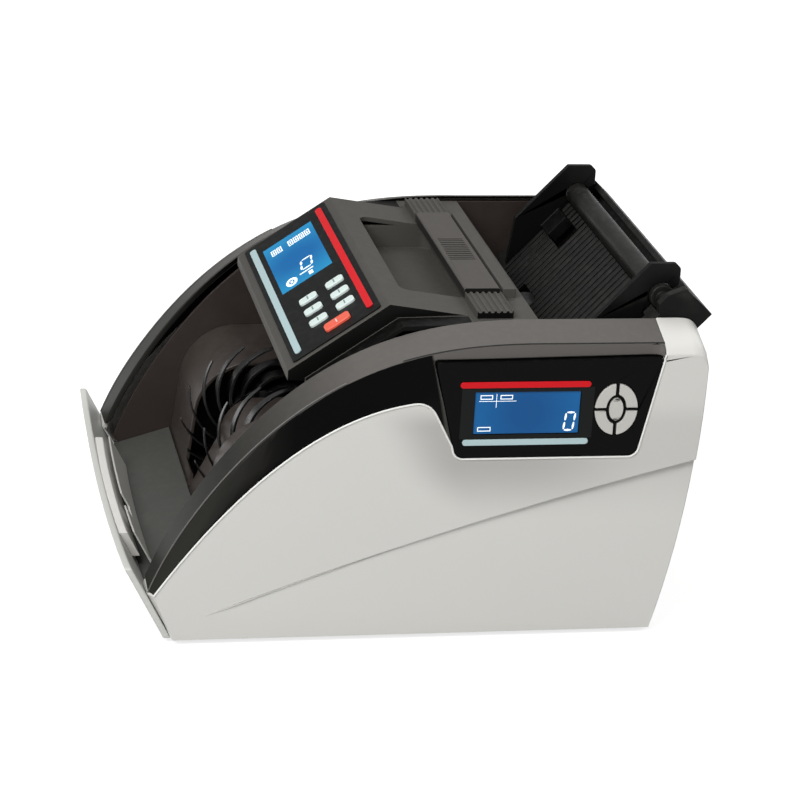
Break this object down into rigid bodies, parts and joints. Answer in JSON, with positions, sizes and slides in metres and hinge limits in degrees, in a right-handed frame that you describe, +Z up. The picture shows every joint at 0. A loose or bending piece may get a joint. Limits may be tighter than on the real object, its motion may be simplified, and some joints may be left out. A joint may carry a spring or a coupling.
{
  "type": "banknote counting machine",
  "caption": "Desktop banknote counter with an inclined rear hopper, roller feed, finned stacking wheels, a tilted key panel and a second display on its right side.",
  "frame": {"origin": "on the table, below the middle of the machine's outline", "axes": "+Z up, -Y towards the operator and the stacker, +Y towards the hopper, +X to the operator's right, the side with the second display"},
  "size_m": [0.25, 0.2832, 0.1765],
  "materials": {
    "casing_light": "light warm grey, fine mould texture",
    "cover_dark": "dark grey top running into a gloss black band",
    "housing_black": "black, satin",
    "floor_grey": "charcoal, satin",
    "frame_paint": "brown-black paint",
    "base_steel": "grey paint",
    "steel": "turned steel",
    "alloy": "machined",
    "bearing_bronze": "sintered bronze",
    "rubber_black": "soft black rubber",
    "pad_white": "white",
    "panel_black": "gloss black",
    "lcd_blue": "lit blue display",
    "strip_red": "red",
    "strip_pale": "pale blue-grey",
    "key_pale": "pale grey-green",
    "key_red": "orange-red",
    "key_grey": "light grey",
    "inlet_black": "black",
    "board_green": "green board"
  },
  "bodies": {
    "machine": {"base_plate": "base_steel", "case_screws": "steel", "rubber_feet": "rubber_black", "side_frame_left": "frame_paint", "side_frame_right": "frame_paint", "shaft_bushes": "bearing_bronze", "left_top_cover": "cover_dark", "left_side_casing": "casing_light", "right_top_cover": "cover_dark", "right_side_casing": "casing_light", "front_panel": "casing_light", "note_stop_pad": "pad_white", "note_stop_plate": "steel", "stacker_floor": "floor_grey", "stacker_guide": "housing_black", "retard_shaft": "steel", "retard_tyres": "rubber_black", "main_motor": "steel", "stacker_motor": "steel", "drive_belts": "rubber_black", "control_housing": "housing_black", "control_overlay": "panel_black", "front_lcd": "lcd_blue", "red_strips": "strip_red", "pale_strips": "strip_pale", "side_display_bezel": "panel_black", "side_lcd": "lcd_blue", "hopper_tray": "housing_black", "hopper_rod": "floor_grey", "rear_panel": "casing_light", "power_inlet": "inlet_black", "circuit_boards": "board_green", "transformer": "steel"},
    "feed_roller": {"feed_shaft": "alloy", "feed_tyres": "rubber_black"},
    "kicker_roller": {"kicker_shaft": "steel", "kicker_tyres": "rubber_black"},
    "transport_roller": {"transport_shaft": "steel", "transport_tyres": "rubber_black"},
    "pinch_roller": {"pinch_rollers": "steel"},
    "impeller": {"impeller_shaft": "steel", "impeller_wheels": "rubber_black"},
    "main_motor_rotor": {"main_motor_pulley": "alloy"},
    "stacker_motor_rotor": {"stacker_motor_pulley": "alloy"},
    "bridge": {"carry_bridge": "housing_black"},
    "guide_left": {"note_guide_left": "housing_black"},
    "guide_right": {"note_guide_right": "housing_black"},
    "rocker": {"power_rocker": "inlet_black"},
    "front_key_1": {"front_key_1": "key_pale"},
    "front_key_2": {"front_key_2": "key_pale"},
    "front_key_3": {"front_key_3": "key_pale"},
    "front_key_4": {"front_key_4": "key_pale"},
    "front_key_5": {"front_key_5": "key_pale"},
    "front_key_6": {"front_key_6": "key_pale"},
    "front_key_red": {"front_key_red": "key_red"},
    "side_key_1": {"side_key_1": "key_grey"},
    "side_key_2": {"side_key_2": "key_grey"},
    "side_key_3": {"side_key_3": "key_grey"},
    "side_key_4": {"side_key_4": "key_grey"},
    "side_key_centre": {"side_key_centre": "key_grey"}
  },
  "joints": [
    {"name": "feed_spin", "type": "hinge", "parent": "machine", "child": "feed_roller", "pos_m": [0, 0.03695, 0.065], "axis": [1, 0, 0], "continuous": true},
    {"name": "kicker_spin", "type": "hinge", "parent": "machine", "child": "kicker_roller", "pos_m": [0, 0.08576, 0.10463], "axis": [1, 0, 0], "continuous": true},
    {"name": "transport_spin", "type": "hinge", "parent": "machine", "child": "transport_roller", "pos_m": [0, -0.00205, 0.073], "axis": [1, 0, 0], "continuous": true},
    {"name": "pinch_spin", "type": "hinge", "parent": "machine", "child": "pinch_roller", "pos_m": [0, -0.00205, 0.0934], "axis": [1, 0, 0], "continuous": true},
    {"name": "main_motor_spin", "type": "hinge", "parent": "machine", "child": "main_motor_rotor", "pos_m": [0, 0.07795, 0.046], "axis": [1, 0, 0], "continuous": true},
    {"name": "impeller_spin", "type": "hinge", "parent": "machine", "child": "impeller", "pos_m": [0, -0.05605, 0.0555], "axis": [1, 0, 0], "continuous": true},
    {"name": "stacker_motor_spin", "type": "hinge", "parent": "machine", "child": "stacker_motor_rotor", "pos_m": [0, -0.02005, 0.034], "axis": [1, 0, 0], "continuous": true},
    {"name": "bridge_lift", "type": "slide", "parent": "machine", "child": "bridge", "axis": [0, 0, 1], "range_m": [0, 0.01]},
    {"name": "guide_right_slide", "type": "slide", "parent": "machine", "child": "guide_right", "axis": [1, 0, 0], "range_m": [-0.018, 0.003]},
    {"name": "guide_left_slide", "type": "slide", "parent": "machine", "child": "guide_left", "axis": [-1, 0, 0], "range_m": [-0.018, 0.003]},
    {"name": "power_rocker_tilt", "type": "hinge", "parent": "machine", "child": "rocker", "pos_m": [0.0455, 0.11353, 0.04], "axis": [-1, 0, 0], "range_deg": [0, 12]},
    {"name": "front_key_1_press", "type": "slide", "parent": "machine", "child": "front_key_1", "axis": [0, 0.5664, -0.8241], "range_m": [0, 0.0008], "stiffness_N_per_m": 500},
    {"name": "front_key_2_press", "type": "slide", "parent": "machine", "child": "front_key_2", "axis": [0, 0.5664, -0.8241], "range_m": [0, 0.0008], "stiffness_N_per_m": 500},
    {"name": "front_key_3_press", "type": "slide", "parent": "machine", "child": "front_key_3", "axis": [0, 0.5664, -0.8241], "range_m": [0, 0.0008], "stiffness_N_per_m": 500},
    {"name": "front_key_4_press", "type": "slide", "parent": "machine", "child": "front_key_4", "axis": [0, 0.5664, -0.8241], "range_m": [0, 0.0008], "stiffness_N_per_m": 500},
    {"name": "front_key_5_press", "type": "slide", "parent": "machine", "child": "front_key_5", "axis": [0, 0.5664, -0.8241], "range_m": [0, 0.0008], "stiffness_N_per_m": 500},
    {"name": "front_key_6_press", "type": "slide", "parent": "machine", "child": "front_key_6", "axis": [0, 0.5664, -0.8241], "range_m": [0, 0.0008], "stiffness_N_per_m": 500},
    {"name": "front_key_red_press", "type": "slide", "parent": "machine", "child": "front_key_red", "axis": [0, 0.5664, -0.8241], "range_m": [0, 0.0008], "stiffness_N_per_m": 500},
    {"name": "side_key_1_press", "type": "slide", "parent": "machine", "child": "side_key_1", "axis": [-1, 0, 0], "range_m": [0, 0.0008], "stiffness_N_per_m": 500},
    {"name": "side_key_2_press", "type": "slide", "parent": "machine", "child": "side_key_2", "axis": [-1, 0, 0], "range_m": [0, 0.0008], "stiffness_N_per_m": 500},
    {"name": "side_key_3_press", "type": "slide", "parent": "machine", "child": "side_key_3", "axis": [-1, 0, 0], "range_m": [0, 0.0008], "stiffness_N_per_m": 500},
    {"name": "side_key_4_press", "type": "slide", "parent": "machine", "child": "side_key_4", "axis": [-1, 0, 0], "range_m": [0, 0.0008], "stiffness_N_per_m": 500},
    {"name": "side_key_centre_press", "type": "slide", "parent": "machine", "child": "side_key_centre", "axis": [-1, 0, 0], "range_m": [0, 0.0008], "stiffness_N_per_m": 500}
  ],
  "couplings": [
    {"joint": "kicker_spin", "follows": "feed_spin", "ratio": 1.4},
    {"joint": "transport_spin", "follows": "feed_spin", "ratio": 1.5},
    {"joint": "main_motor_spin", "follows": "feed_spin", "ratio": 2},
    {"joint": "pinch_spin", "follows": "feed_spin", "ratio": -2.25},
    {"joint": "stacker_motor_spin", "follows": "impeller_spin", "ratio": 2}
  ]
}
